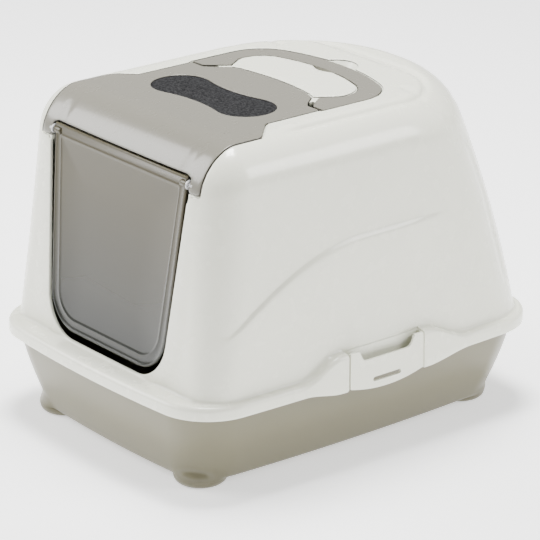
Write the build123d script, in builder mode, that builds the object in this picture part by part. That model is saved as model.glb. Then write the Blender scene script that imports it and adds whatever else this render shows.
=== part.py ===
from build123d import *
from math import radians, sin, sqrt
import os

# A covered litter box: a tray, a lift-off hood, a flip lid with a swing door and an air filter,
# a carry handle and two side clips. Millimetres, +Z up, the door faces -Y, and the origin is on
# the floor under the middle of the box.

# Overall rim of the hood, which is the largest outline
rim_half_x = 195.7
rim_half_y = 250.0
rim_corner = 63.6
rim_side_bow = 7.9
rim_end_bow = 11.9
rim_bottom = 94.0
rim_top = 108.0
rim_round = 5.5

# Moulded walls
wall = 2.6
lid_wall = 2.2
seam = 1.0
fit_gap = 0.4

# Tray
tray_floor = 7.5
tray_top = 105.0
tray_low_x = 158.0
tray_low_y = 217.0
tray_low_corner = 53.0
tray_high_x = 182.0
tray_high_y = 238.0
tray_high_corner = 56.0
tray_bow = 8.0
# Height of each level of the tray's wall, and how far it has spread from the floor's outline
tray_swell = [(16.0, 0.14), (45.0, 0.55), (73.0, 0.83), (94.0, 1.0), (105.0, 1.06)]
tray_flange_inset = 4.8
tray_flange_low = 99.5
foot_x = 122.0
foot_front_y = -188.0
foot_rear_y = 178.0
foot_low_radius = 27.5
foot_high_radius = 30.0
foot_height = 13.0

# Hood walls, hollowed a little as they rise from the rim to the rounded shoulders. A lean is a share
# of the rise, and a curve is the further distance gained by the top.
hood_top = 371.0
wall_datum = 123.0
hood_half_x = 184.0
hood_side_lean = 0.053
hood_side_curve = 2.5
hood_front_y = -223.0
hood_front_lean = 0.107
hood_rear_y = 236.0
hood_rear_lean = 0.054
hood_rear_curve = 28.4
hood_front_corner = 37.0
hood_front_corner_growth = 0.086
hood_front_corner_curve = -20.2
hood_rear_corner = 62.4
hood_rear_corner_growth = 0.363
hood_least_corner = 8.0
hood_side_bow = 4.7
hood_side_bow_growth = -0.016
hood_least_bow = 1.0
hood_end_bow = 2.9
hood_wall_levels = [94.0, 150.0, 205.0, 260.0, 300.0]
side_shoulder = 42.9
front_shoulder = 50.0
rear_shoulder = 26.3
shoulder_angles = [0, 16, 30, 43, 55, 66, 76, 84, 90]
corner_tightening = 1.186
beyond = 9.0

# Doorway, drawn on the leaning plane of its raised frame
sill_z = 110.0
frame_y = -224.5
frame_lean = 0.112
frame_depth = 6.0
sill_half_x = 100.7
doorway_flare = 0.096
doorway_corner = 48.0
doorway_height = 236.0
frame_half_x = 126.0
frame_flare = 0.03
frame_low = -8.0
frame_corner = 60.0
frame_height = 212.0

# Flip lid
lid_rear_y = 14.5
lid_half_x = 109.5
lid_front_half_x = 137.5
lid_flare_rear_y = -90.0
lid_flare_round = 8.0
lid_rear_step_y = -18.0
lid_rear_corner = [(58.0, 9.0), (70.0, 4.0), (75.0, -2.0), (84.0, -13.0), (91.0, -18.0)]
lid_flare_front_y = -117.0
lid_leg_bottom = 322.5
lid_leg_inner_x = 121.0
lid_lip_z = 343.0
lid_lip_half_x = 114.0
lid_lip_drop = 4.0
lid_ledge = 6.0
lid_hinge_y = -22.0
lid_hinge_z = 364.6
lid_hinge_x = 109.3
lid_lug_thickness = 3.8
lid_lug_front = 4.5
lid_lug_rear = 3.5
lid_lug_low = 360.4
lid_pin_radius = 2.5
lid_pin_length = 4.0
running_gap = 0.05
hinge_rail_x = 117.5
hinge_rail_low = 359.0
hinge_rail_front_y = -29.0
hinge_rail_rear_y = 2.0

# Air filter and its holder under the lid
filter_y = -73.5
filter_lobe = 33.0
filter_lobe_x = 53.5
filter_waist = 25.5
filter_turn = 2.0
filter_pad_thickness = 4.6
filter_lap = 5.0
filter_recess = 1.2
grille_thickness = 2.0
grille_slots = 9
grille_pitch = 17.0
grille_slot_length = 42.0
grille_slot_width = 6.0

# Swing door
door_gap = 3.0
door_sill_gap = 8.0
door_set_back = 2.5
door_thickness = 3.0
door_border = 11.0
door_dish = 1.6
door_axis_height = 220.9
door_height = 229.0
door_boss_radius = 4.2
door_boss_length = 11.0
door_pin_radius = 2.0
door_pivot_face_x = 117.0
door_pivot_head_radius = 5.2
door_pivot_head = 2.6
door_pin_length = 8.0
door_bore_length = 9.0
door_notch_gap = 2.0
door_lug_thickness = 4.0
door_lug_front = 1.5
door_lug_rear = 8.0
door_lug_above = 9.0
door_spigot_radius = 3.0

# Carry handle, lying flush in its groove
handle_half_x = 112.0
handle_rear_y = 104.0
handle_outer_corner = 50.0
handle_rear_radius = 228.0
handle_inner_half_x = 89.0
handle_inner_rear_y = 81.0
handle_inner_corner = 35.0
handle_inner_rear_radius = 205.0
handle_front_y = -13.9
handle_shoulder = [(89.0, 31.0), (76.0, 10.5), (91.5, -10.2), (95.5, -13.9)]
handle_thickness = 7.6
handle_top = 370.6
handle_axis_y = -7.0
handle_axis_z = 366.6
handle_pin_radius = 2.5
handle_pin_length = 3.4
groove_floor = 361.8
groove_skin = 2.6
arm_pocket_floor = 354.6
arm_pocket_front_y = -8.0
arm_pocket_rear_y = 6.0
groove_gap = 1.2
corner_gap_inner_x = 80.0
corner_gap_rear_y = -2.0
dish_y = 97.0
dish_radius = 24.5
dish_depth = 15.5

# Side clips, in a gap of the rim
clip_y = 7.0
clip_half_length = 50.5
clip_gap = 1.0
clip_top = 128.0
clip_middle_top = 115.5
clip_bottom = 80.6
clip_end_bottom = 87.5
clip_horn_width = 11.0
clip_horn_run = 24.0
clip_axis_x = 190.6
clip_axis_z = 123.0
clip_barrel_radius = 3.6
clip_barrel_length = 9.0
clip_pin_radius = 2.0
clip_pin_length = 4.0
clip_pocket_x = 185.0
clip_slot_z = 91.5
clip_slot_length = 39.0
clip_slot_height = 5.0
clip_hook_z = 97.2
clip_hook_reach = 187.4
clip_hook_half_length = 20.0
clip_hook_thickness = 2.4
hump_top = 128.5
hump_half_length = 112.0
hump_flat_half_length = 64.0
hump_low = 86.5
hump_low_half_length = 110.0
hump_inset = 0.15


def meeting_point(first, first_reach, second, second_reach):
    """The point on the +X side that is first_reach from one point and second_reach from the other."""
    between = second - first
    span = between.length
    along = (first_reach**2 - second_reach**2 + span**2) / (2 * span)
    aside = sqrt(first_reach**2 - along**2)
    step = between.normalized()
    options = [first + step * along + Vector(-step.Y, step.X) * side for side in (aside, -aside)]
    return max(options, key=lambda point: point.X)


def corner_arc(side_centre, side_radius, end_centre, end_radius, corner):
    """A corner arc tangent to two bowed sides: its two ends and its middle."""
    centre = meeting_point(side_centre, side_radius - corner, end_centre, end_radius - corner)
    on_side = side_centre + (centre - side_centre).normalized() * side_radius
    on_end = end_centre + (centre - end_centre).normalized() * end_radius
    middle = centre + (on_side + on_end - centre * 2).normalized() * corner
    return on_side, middle, on_end


def bowed_face(z, half_x, front_y, rear_y, front_corner, rear_corner, side_bow, end_bow):
    """A rounded rectangle at height z whose four sides bow outwards in long arcs."""
    middle_y = (front_y + rear_y) / 2
    half_y = (rear_y - front_y) / 2
    side_radius = (half_y**2 + side_bow**2) / (2 * side_bow)
    end_radius = (half_x**2 + end_bow**2) / (2 * end_bow)
    side_centre = Vector(half_x - side_radius, middle_y)
    rear_centre = Vector(0, rear_y - end_radius)
    front_centre = Vector(0, front_y + end_radius)
    rear = corner_arc(side_centre, side_radius, rear_centre, end_radius, rear_corner)
    front = corner_arc(side_centre, side_radius, front_centre, end_radius, front_corner)
    flip = [[Vector(-point.X, point.Y) for point in corner] for corner in (rear, front)]
    with BuildSketch(Plane.XY.offset(z)) as sketch:
        with BuildLine():
            ThreePointArc(front[0], (half_x, middle_y), rear[0])
            ThreePointArc(*rear)
            ThreePointArc(rear[2], (0, rear_y), flip[0][2])
            ThreePointArc(*reversed(flip[0]))
            ThreePointArc(flip[0][0], (-half_x, middle_y), flip[1][0])
            ThreePointArc(*flip[1])
            ThreePointArc(flip[1][2], (0, front_y), front[2])
            ThreePointArc(*reversed(front))
        make_face()
    return sketch.sketch


def rim_prism(inset, low, high):
    """The rim's outline, drawn in by inset, as a straight prism."""
    with BuildPart() as prism:
        add(bowed_face(low, rim_half_x - inset, inset - rim_half_y, rim_half_y - inset,
                       rim_corner - inset, rim_corner - inset, rim_side_bow, rim_end_bow))
        extrude(amount=high - low)
    return prism.part


def tray_section(z, blend, inset):
    """One level of the tray's wall: blend 0 at the floor and 1 under the rim."""
    half_x = tray_low_x + (tray_high_x - tray_low_x) * blend - inset
    half_y = tray_low_y + (tray_high_y - tray_low_y) * blend - inset
    corner = tray_low_corner + (tray_high_corner - tray_low_corner) * blend - inset
    return bowed_face(z, half_x, -half_y, half_y, corner, corner, tray_bow, tray_bow)


def tray_form(inset, floor):
    """The tray's swelling body, drawn in by inset, from its floor to its top edge."""
    levels = [(floor, 0.0)] + tray_swell
    with BuildPart() as form:
        loft(sections=[tray_section(z, blend, inset) for z, blend in levels])
    return form.part


def shoulder_inset(rise, radius):
    """How far a rounded shoulder has drawn the wall in after a rise into its arc."""
    inside = min(max(rise, 0.0), radius)
    return radius - sqrt(radius**2 - inside**2)


def hood_section(z, skin):
    """One level of the hood's wall, drawn in by skin."""
    up = z - wall_datum
    top = hood_top - skin
    draws = [shoulder_inset(z - (top - radius + skin), radius - skin)
             for radius in (side_shoulder, front_shoulder, rear_shoulder)]
    side, front, rear = draws
    curved = (up / (hood_top - wall_datum))**2
    half_x = hood_half_x - hood_side_lean * up - hood_side_curve * curved - side - skin
    front_y = hood_front_y + hood_front_lean * up + front + skin
    rear_y = hood_rear_y - hood_rear_lean * up - hood_rear_curve * curved - rear - skin
    front_corner = (hood_front_corner + hood_front_corner_growth * up + hood_front_corner_curve * curved
                    - corner_tightening * side)
    rear_corner = hood_rear_corner + hood_rear_corner_growth * up - corner_tightening * rear
    front_corner = max(front_corner, hood_least_corner) - skin
    rear_corner = max(rear_corner, hood_least_corner) - skin
    side_bow = max(hood_side_bow + hood_side_bow_growth * up, hood_least_bow)
    return bowed_face(z, half_x, front_y, rear_y, front_corner, rear_corner, side_bow, hood_end_bow)


def hood_form(skin):
    """The hood's outer form drawn in by skin: hollowed walls and banded round shoulders."""
    arc_start = hood_top - front_shoulder
    levels = hood_wall_levels + [arc_start + (front_shoulder - skin) * sin(radians(angle))
                                 for angle in shoulder_angles]
    with BuildPart() as form:
        loft(sections=[hood_section(z, skin) for z in levels], ruled=True)
    return form.part


def make_tray():
    outside = tray_form(0, tray_floor)
    inside = tray_form(wall, tray_floor + wall)
    flange = rim_prism(tray_flange_inset, tray_flange_low, tray_top)
    flange_bore = rim_prism(tray_flange_inset + wall, tray_flange_low, tray_top - wall)
    with BuildPart() as tray:
        add(outside)
        add(flange)
        add(flange_bore, mode=Mode.SUBTRACT)
        add(outside)
        for side_x in (-foot_x, foot_x):
            for side_y in (foot_front_y, foot_rear_y):
                with BuildSketch(Plane((side_x, side_y, 0))):
                    Circle(foot_low_radius)
                with BuildSketch(Plane((side_x, side_y, foot_height))):
                    Circle(foot_high_radius)
                loft()
        add(inside, mode=Mode.SUBTRACT)
    tray.part.label = "tray"
    export_step(tray.part, "parts/tray.step")


def upright(face, low, high):
    """A straight upright prism on a plan face."""
    with BuildPart() as prism:
        add(face.moved(Location((0, 0, low))))
        extrude(amount=high - low)
    return prism.part


def block(low_x, high_x, low_y, high_y, low_z, high_z):
    """A plain box between two corners."""
    with BuildPart() as box:
        with Locations(((low_x + high_x) / 2, (low_y + high_y) / 2, (low_z + high_z) / 2)):
            Box(high_x - low_x, high_y - low_y, high_z - low_z)
    return box.part


def cross_pin(x_from, x_to, y, z, radius):
    """A round pin along X between two places."""
    with BuildPart() as pin:
        with BuildSketch(Plane(origin=(x_from, y, z), x_dir=(0, 1, 0), z_dir=(1, 0, 0))):
            Circle(radius)
        extrude(amount=x_to - x_from)
    return pin.part


def long_pin(x, y_from, y_to, z, radius):
    """A round pin along Y between two places."""
    with BuildPart() as pin:
        with BuildSketch(Plane(origin=(x, y_from, z), x_dir=(1, 0, 0), z_dir=(0, 1, 0))):
            Circle(radius)
        extrude(amount=y_to - y_from)
    return pin.part


def both_sides(part):
    """A part and its mirror image across the middle of the box."""
    return [part, part.mirror(Plane.YZ)]


def lid_plan(grow):
    """The flip lid's outline from above: narrow between the hinges, wide over the door."""
    with BuildSketch() as sketch:
        with BuildLine():
            side = Polyline(*lid_rear_corner, (lid_half_x, lid_rear_step_y),
                            (lid_half_x, lid_flare_rear_y), (lid_front_half_x, lid_flare_front_y),
                            (lid_front_half_x, -rim_half_y))
            mirror(side, about=Plane.YZ)
            rear_x, rear_y = lid_rear_corner[0]
            ThreePointArc((-rear_x, rear_y), (0, lid_rear_y), (rear_x, rear_y))
            Line((lid_front_half_x, -rim_half_y), (-lid_front_half_x, -rim_half_y))
        make_face()
        flare = sketch.vertices().filter_by(lambda corner: abs(corner.Y - lid_flare_rear_y) < 1)
        fillet(flare, lid_flare_round)
        if grow:
            offset(amount=grow, kind=Kind.INTERSECTION)
    return sketch.sketch


def filter_plan(grow):
    """A peanut outline: two round lobes joined by long hollow arcs, turned a little."""
    lobe = filter_lobe + grow
    waist = filter_waist + grow
    hollow = (filter_lobe_x**2 + waist**2 - lobe**2) / (2 * (lobe - waist))
    share = lobe / (lobe + hollow)
    touch_x = filter_lobe_x * (1 - share)
    touch_y = (waist + hollow) * share
    with BuildSketch(Plane((0, filter_y, 0)).rotated((0, 0, filter_turn))) as sketch:
        with BuildLine():
            ThreePointArc((-touch_x, touch_y), (0, waist), (touch_x, touch_y))
            ThreePointArc((touch_x, touch_y), (filter_lobe_x + lobe, 0), (touch_x, -touch_y))
            ThreePointArc((touch_x, -touch_y), (0, -waist), (-touch_x, -touch_y))
            ThreePointArc((-touch_x, -touch_y), (-filter_lobe_x - lobe, 0), (-touch_x, touch_y))
        make_face()
    return sketch.sketch


def u_corner(half_x, rear_y, corner, rear_radius):
    """The rear corner arc of a U, tangent to its straight side and its bowed rear."""
    rear_centre = Vector(0, rear_y - rear_radius)
    across = half_x - corner
    centre = rear_centre + Vector(across, sqrt((rear_radius - corner)**2 - across**2))
    on_side = centre + Vector(corner, 0)
    on_rear = rear_centre + (centre - rear_centre).normalized() * rear_radius
    middle = centre + (on_side + on_rear - centre * 2).normalized() * corner
    return on_side, middle, on_rear


def handle_plan(grow):
    """The handle from above: a U whose arms broaden inwards beside the lid's rear corners."""
    outer = u_corner(handle_half_x, handle_rear_y, handle_outer_corner, handle_rear_radius)
    inner = u_corner(handle_inner_half_x, handle_inner_rear_y, handle_inner_corner,
                     handle_inner_rear_radius)
    with BuildSketch() as sketch:
        with BuildLine():
            arms = Polyline(outer[0], (handle_half_x, handle_front_y), *reversed(handle_shoulder), inner[0])
            corners = [ThreePointArc(*outer), ThreePointArc(*inner)]
            mirror([arms, *corners], about=Plane.YZ)
            ThreePointArc(outer[2], (0, handle_rear_y), (-outer[2].X, outer[2].Y))
            ThreePointArc(inner[2], (0, handle_inner_rear_y), (-inner[2].X, inner[2].Y))
        make_face()
        if grow:
            offset(amount=grow, kind=Kind.INTERSECTION)
    return sketch.sketch


def frame_plane(depth):
    """The leaning plane of the doorway frame, depth behind its front face."""
    facing = Vector(0, -1, frame_lean).normalized()
    return Plane(origin=Vector(0, frame_y, sill_z) - facing * depth, x_dir=(1, 0, 0), z_dir=facing)


def doorway_face(depth, half_x, flare, low, high, corner):
    """An outline on the frame's plane that widens upwards, with two round lower corners."""
    with BuildSketch(frame_plane(depth)) as sketch:
        with BuildLine():
            Polyline((-half_x - flare * high, high), (-half_x - flare * low, low),
                     (half_x + flare * low, low), (half_x + flare * high, high), close=True)
        make_face()
        fillet(sketch.vertices().group_by(Axis.Y)[0], corner)
    return sketch.sketch


def leaning_plate(depth, thickness, half_x, flare, low, high, corner):
    """A plate with a doorway outline, from depth behind the frame's face backwards."""
    with BuildPart() as plate:
        add(doorway_face(depth, half_x, flare, low, high, corner))
        extrude(amount=thickness, dir=-frame_plane(depth).z_dir)
    return plate.part


def rim_hump():
    """The rim deepened beside a clip: its side view, cut by the rim's own outline."""
    with BuildPart() as hump:
        with BuildSketch(Plane(origin=(hood_half_x - 6, clip_y, 0), x_dir=(0, 1, 0), z_dir=(1, 0, 0))):
            with BuildLine():
                Polyline((-hump_half_length, rim_top - 1), (-hump_low_half_length, rim_bottom),
                         (-hump_flat_half_length, hump_low), (hump_flat_half_length, hump_low),
                         (hump_low_half_length, rim_bottom), (hump_half_length, rim_top - 1))
                Spline((hump_half_length, rim_top - 1), (hump_flat_half_length, hump_top),
                       tangents=((-1, 0), (-1, 0)))
                Line((hump_flat_half_length, hump_top), (-hump_flat_half_length, hump_top))
                Spline((-hump_flat_half_length, hump_top), (-hump_half_length, rim_top - 1),
                       tangents=((-1, 0), (-1, 0)))
            make_face()
        extrude(amount=rim_half_x)
        add(rim_prism(hump_inset, hump_low, hump_top), mode=Mode.INTERSECT)
        tops = hump.faces().filter_by(lambda face: face.normal_at().Z > 0.3)
        sides = hump.faces().filter_by(lambda face: face.normal_at().X > 0.9)
        outer = [edge for edge in tops.edges() if edge in sides.edges()]
        fillet(outer, rim_round - 1)
    return hump.part


def clip_gap_block(grow):
    """The gap that a clip fills in the rim."""
    reach = clip_half_length + grow
    return block(clip_pocket_x, rim_half_x + beyond, clip_y - reach, clip_y + reach,
                 clip_bottom - beyond, clip_top + beyond)


def handle_tub():
    """The block under the top plate that holds the handle's groove and the finger dish."""
    outline = handle_plan(groove_gap + groove_skin)
    with BuildPart() as tub:
        add(upright(outline, groove_floor - groove_skin, hood_top))
        with Locations((0, dish_y, hood_top)):
            Cylinder(dish_radius + groove_skin, dish_depth + groove_skin,
                     align=(Align.CENTER, Align.CENTER, Align.MAX))
        add(upright(outline, arm_pocket_floor - groove_skin, hood_top)
            & block(-rim_half_x, rim_half_x, arm_pocket_front_y, arm_pocket_rear_y + groove_skin,
                    arm_pocket_floor - groove_skin, hood_top))
        for rail in both_sides(block(lid_half_x, hinge_rail_x, hinge_rail_front_y, hinge_rail_rear_y,
                                     hinge_rail_low, hood_top)):
            add(rail)
        add(block(-rim_half_x, rim_half_x, hinge_rail_front_y - beyond, arm_pocket_front_y,
                  hinge_rail_low - beyond, hood_top)
            & block(-lid_half_x - seam, lid_half_x + seam, -rim_half_y, arm_pocket_front_y,
                    hinge_rail_low - beyond, hood_top), mode=Mode.SUBTRACT)
    return tub.part


def groove_cut():
    """The handle's groove, its deep arm pockets and the finger dish."""
    outline = handle_plan(groove_gap)
    dish_ball = (dish_radius**2 + dish_depth**2) / (2 * dish_depth)
    with BuildPart() as groove:
        add(upright(outline, groove_floor, hood_top + beyond))
        add(upright(outline, arm_pocket_floor, hood_top + beyond)
            & block(-rim_half_x, rim_half_x, handle_front_y - beyond, arm_pocket_rear_y,
                    arm_pocket_floor, hood_top + beyond))
        with Locations((0, dish_y, hood_top - dish_depth + dish_ball)):
            Sphere(dish_ball)
    return groove.part


def corner_gap():
    """The open corner behind a lid leg, where the leg and the handle's front end both turn."""
    return block(corner_gap_inner_x, handle_half_x + groove_gap, lid_rear_step_y, corner_gap_rear_y,
                 arm_pocket_floor, hood_top + beyond)


def lid_opening():
    """The hole under the lid: it leaves a ledge at the lid's sides but none behind its hinges."""
    zone = upright(lid_plan(-lid_ledge), lid_leg_bottom - seam, hood_top + beyond)
    rear = upright(lid_plan(seam), hinge_rail_low - beyond, hood_top + beyond)
    rear_half = block(-rim_half_x, rim_half_x, hinge_rail_front_y, rim_half_y,
                      hinge_rail_low - beyond, hood_top + beyond)
    return [zone, rear & rear_half]


def make_hood():
    shell = hood_form(0)
    cavity = hood_form(wall)
    deep_cavity = hood_form(2 * wall)
    ledge = upright(lid_plan(lid_ledge), lid_leg_bottom - seam - 2 * wall, hood_top + beyond) - deep_cavity
    tub = handle_tub()
    recess = upright(lid_plan(seam), lid_leg_bottom - seam, hood_top + beyond) - cavity
    cavity = cavity - ledge - tub
    humps = both_sides(rim_hump())
    gaps = both_sides(clip_gap_block(clip_gap))
    doorway = leaning_plate(-beyond, 4 * beyond, sill_half_x, doorway_flare, 0, doorway_height,
                            doorway_corner)
    frame = leaning_plate(0, frame_depth, frame_half_x, frame_flare, frame_low, frame_height, frame_corner)
    reach = clip_half_length + clip_gap
    clip_bores = [long_pin(clip_axis_x, clip_y + side * reach, clip_y + side * (reach + clip_pin_length),
                           clip_axis_z, clip_pin_radius + running_gap) for side in (-1, 1)]
    lid_bore = cross_pin(lid_half_x, lid_hinge_x + lid_pin_length + fit_gap, lid_hinge_y, lid_hinge_z,
                         lid_pin_radius + running_gap)
    handle_bore = cross_pin(handle_half_x, handle_half_x + handle_pin_length + fit_gap, handle_axis_y,
                            handle_axis_z, handle_pin_radius + running_gap)
    with BuildPart() as hood:
        add(rim_prism(0, rim_bottom, rim_top))
        fillet(hood.faces().sort_by(Axis.Z)[-1].edges(), rim_round)
        for hump in humps:
            add(hump)
        add(shell)
        add(frame)
        add(cavity, mode=Mode.SUBTRACT)
        add(rim_prism(wall, hump_low - beyond, rim_top - wall), mode=Mode.SUBTRACT)
        add(recess, mode=Mode.SUBTRACT)
        for hole in lid_opening() + gaps + both_sides(corner_gap()) + [doorway, groove_cut()]:
            add(hole, mode=Mode.SUBTRACT)
        for bore in clip_bores + [lid_bore, handle_bore]:
            for side in both_sides(bore):
                add(side, mode=Mode.SUBTRACT)
    hood.part.label = "hood"
    export_step(hood.part, "parts/hood.step")


def make_flip_lid():
    plate = hood_form(0) - hood_form(lid_wall)
    zone = upright(lid_plan(0), lid_leg_bottom, hood_top + beyond)
    axis = door_axis()
    with BuildPart() as lip_cut:
        with BuildSketch(Plane.XZ):
            with BuildLine():
                Polyline((-lid_leg_inner_x, lid_leg_bottom - beyond),
                         (-lid_leg_inner_x, lid_lip_z - lid_lip_drop), (-lid_lip_half_x, lid_lip_z),
                         (lid_lip_half_x, lid_lip_z), (lid_leg_inner_x, lid_lip_z - lid_lip_drop),
                         (lid_leg_inner_x, lid_leg_bottom - beyond), close=True)
            make_face()
        extrude(amount=rim_half_y)
    lug = block(lid_hinge_x - lid_lug_thickness, lid_hinge_x, lid_hinge_y - lid_lug_front,
                lid_hinge_y + lid_lug_rear, lid_lug_low, hood_top - lid_wall / 2)
    pin = cross_pin(lid_hinge_x, lid_hinge_x + lid_pin_length, lid_hinge_y, lid_hinge_z, lid_pin_radius)
    door_lug = block(lid_leg_inner_x, lid_leg_inner_x + door_lug_thickness, axis.Y - door_lug_front,
                     axis.Y + door_lug_rear, lid_leg_bottom, axis.Z + door_lug_above)
    spigot_hole = cross_pin(lid_leg_inner_x - 1, lid_leg_inner_x + door_lug_thickness + 1, axis.Y, axis.Z,
                            door_spigot_radius)
    with BuildPart() as flip_lid:
        add(plate)
        add(zone, mode=Mode.INTERSECT)
        add(lip_cut.part, mode=Mode.SUBTRACT)
        add(upright(filter_plan(0), hood_top - beyond, hood_top + beyond), mode=Mode.SUBTRACT)
        for piece in both_sides(lug) + both_sides(pin) + both_sides(door_lug):
            add(piece)
        for hole in both_sides(spigot_hole):
            add(hole, mode=Mode.SUBTRACT)
    flip_lid.part.label = "flip_lid"
    export_step(flip_lid.part, "parts/flip_lid.step")


def door_axis():
    """The middle of the swing door's pivot line."""
    plane = frame_plane(door_set_back + door_thickness / 2)
    return plane.from_local_coords(Vector(0, door_axis_height, 0))


def make_door():
    axis = door_axis()
    half_x = sill_half_x - door_gap
    corner = doorway_corner - door_gap
    plate = leaning_plate(door_set_back, door_thickness, half_x, doorway_flare, door_sill_gap,
                          door_height, corner)
    dish = leaning_plate(door_set_back - door_dish, 2 * door_dish, half_x - door_border, doorway_flare,
                         door_sill_gap + door_border, door_height - door_border, corner - door_border)
    notch = block(door_pivot_face_x - fit_gap, rim_half_x, axis.Y - beyond, axis.Y + beyond,
                  axis.Z - door_pivot_head_radius - door_notch_gap, axis.Z + 2 * beyond)
    boss = cross_pin(door_pivot_face_x - fit_gap - door_boss_length, door_pivot_face_x - fit_gap,
                     axis.Y, axis.Z, door_boss_radius)
    bore = cross_pin(door_pivot_face_x - door_bore_length, door_pivot_face_x, axis.Y, axis.Z,
                     door_pin_radius + running_gap)
    with BuildPart() as swing_door:
        add(plate)
        add(dish, mode=Mode.SUBTRACT)
        for piece in both_sides(boss):
            add(piece)
        for hole in both_sides(notch) + both_sides(bore):
            add(hole, mode=Mode.SUBTRACT)
    swing_door.part.label = "swing_door"
    export_step(swing_door.part, "parts/swing_door.step")


def make_door_pivots():
    axis = door_axis()
    with BuildPart() as right_pivot:
        add(cross_pin(door_pivot_face_x - door_pin_length, door_pivot_face_x, axis.Y, axis.Z,
                      door_pin_radius))
        add(cross_pin(door_pivot_face_x, door_pivot_face_x + door_pivot_head, axis.Y, axis.Z,
                      door_pivot_head_radius))
        add(cross_pin(door_pivot_face_x + door_pivot_head, lid_leg_inner_x + door_lug_thickness,
                      axis.Y, axis.Z, door_spigot_radius))
    for name, solid in (("door_pivot_right", right_pivot.part),
                        ("door_pivot_left", right_pivot.part.mirror(Plane.YZ))):
        solid.label = name
        export_step(solid, f"parts/{name}.step")


def make_filter():
    underside = hood_top - lid_wall
    with BuildPart() as carbon_filter:
        add(upright(filter_plan(filter_lap), underside - fit_gap - filter_pad_thickness, underside - fit_gap))
        add(upright(filter_plan(-fit_gap), underside - filter_pad_thickness, hood_top - filter_recess))
    carbon_filter.part.label = "carbon_filter"
    export_step(carbon_filter.part, "parts/carbon_filter.step")
    holder_low = underside - fit_gap * 2 - filter_pad_thickness - grille_thickness
    with BuildPart() as filter_holder:
        add(upright(filter_plan(filter_lap + fit_gap + grille_thickness), holder_low, underside))
        add(upright(filter_plan(filter_lap + fit_gap), holder_low + grille_thickness, underside + 1),
            mode=Mode.SUBTRACT)
        with BuildSketch(Plane((0, filter_y, holder_low))):
            with GridLocations(grille_pitch, 0, grille_slots, 1):
                SlotOverall(grille_slot_length, grille_slot_width, rotation=90)
        extrude(amount=grille_thickness, mode=Mode.SUBTRACT)
    filter_holder.part.label = "filter_holder"
    export_step(filter_holder.part, "parts/filter_holder.step")


def make_handle():
    low = handle_top - handle_thickness
    pin = cross_pin(handle_half_x, handle_half_x + handle_pin_length, handle_axis_y, handle_axis_z,
                    handle_pin_radius)
    with BuildPart() as carry_handle:
        add(upright(handle_plan(0), low, handle_top))
        for piece in both_sides(pin):
            add(piece)
    carry_handle.part.label = "carry_handle"
    export_step(carry_handle.part, "parts/carry_handle.step")


def clip_side_view():
    """A clip seen from its side: two horns, a lower middle and a bowed lower edge."""
    reach = clip_half_length
    horn = reach - clip_horn_width
    dip = horn - clip_horn_run / 2
    with BuildSketch(Plane(origin=(clip_pocket_x, clip_y, 0), x_dir=(0, 1, 0), z_dir=(1, 0, 0))) as sketch:
        with BuildLine():
            Line((-reach, clip_end_bottom), (-reach, clip_top))
            Line((-reach, clip_top), (-horn, clip_top))
            Spline((-horn, clip_top), (-dip, clip_middle_top), tangents=((1, -1), (1, 0)))
            Line((-dip, clip_middle_top), (dip, clip_middle_top))
            Spline((dip, clip_middle_top), (horn, clip_top), tangents=((1, 0), (1, 1)))
            Line((horn, clip_top), (reach, clip_top))
            Line((reach, clip_top), (reach, clip_end_bottom))
            ThreePointArc((reach, clip_end_bottom), (0, clip_bottom), (-reach, clip_end_bottom))
        make_face()
        with Locations((0, clip_slot_z)):
            SlotOverall(clip_slot_length, clip_slot_height, mode=Mode.SUBTRACT)
    return sketch.sketch


def make_side_clips():
    reach = clip_half_length
    with BuildPart() as right_clip:
        add(clip_side_view())
        extrude(amount=rim_half_x, dir=(1, 0, 0))
        add(rim_prism(0, clip_bottom - 1, clip_top + 1), mode=Mode.INTERSECT)
        add(rim_prism(wall, clip_bottom - 2, clip_top + 2), mode=Mode.SUBTRACT)
        add(block(clip_hook_reach, rim_half_x - wall, clip_y - clip_hook_half_length,
                  clip_y + clip_hook_half_length, clip_hook_z - clip_hook_thickness, clip_hook_z))
        for side in (-1, 1):
            add(long_pin(clip_axis_x, clip_y + side * (reach - clip_barrel_length), clip_y + side * reach,
                         clip_axis_z, clip_barrel_radius))
            add(long_pin(clip_axis_x, clip_y + side * reach, clip_y + side * (reach + clip_pin_length),
                         clip_axis_z, clip_pin_radius))
    for name, solid in (("side_clip_right", right_clip.part),
                        ("side_clip_left", right_clip.part.mirror(Plane.YZ))):
        solid.label = name
        export_step(solid, f"parts/{name}.step")


os.makedirs("parts", exist_ok=True)
make_tray()
make_hood()
make_flip_lid()
make_door()
make_door_pivots()
make_filter()
make_handle()
make_side_clips()
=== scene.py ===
import bmesh
import bpy
import numpy as np
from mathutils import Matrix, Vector
from mathutils.bvhtree import BVHTree


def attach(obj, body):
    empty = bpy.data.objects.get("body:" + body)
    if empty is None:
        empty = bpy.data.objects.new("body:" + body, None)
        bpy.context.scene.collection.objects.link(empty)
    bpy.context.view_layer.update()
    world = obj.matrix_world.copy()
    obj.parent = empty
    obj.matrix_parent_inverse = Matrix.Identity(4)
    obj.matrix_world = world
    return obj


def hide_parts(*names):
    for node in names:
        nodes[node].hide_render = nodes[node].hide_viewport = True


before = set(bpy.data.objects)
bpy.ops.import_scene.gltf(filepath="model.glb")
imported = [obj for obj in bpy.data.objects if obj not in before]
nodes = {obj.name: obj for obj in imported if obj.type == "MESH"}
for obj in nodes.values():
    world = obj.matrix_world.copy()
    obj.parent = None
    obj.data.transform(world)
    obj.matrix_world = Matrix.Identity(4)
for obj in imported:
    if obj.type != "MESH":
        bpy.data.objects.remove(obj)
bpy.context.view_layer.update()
mm = 0.001
weldDistance = 0.01 * mm
tiny = 1e-9  # the least length that is divided by
farOut = 99.0  # a distance in millimetres that cuts nothing away
print("frame loaded")


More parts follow.
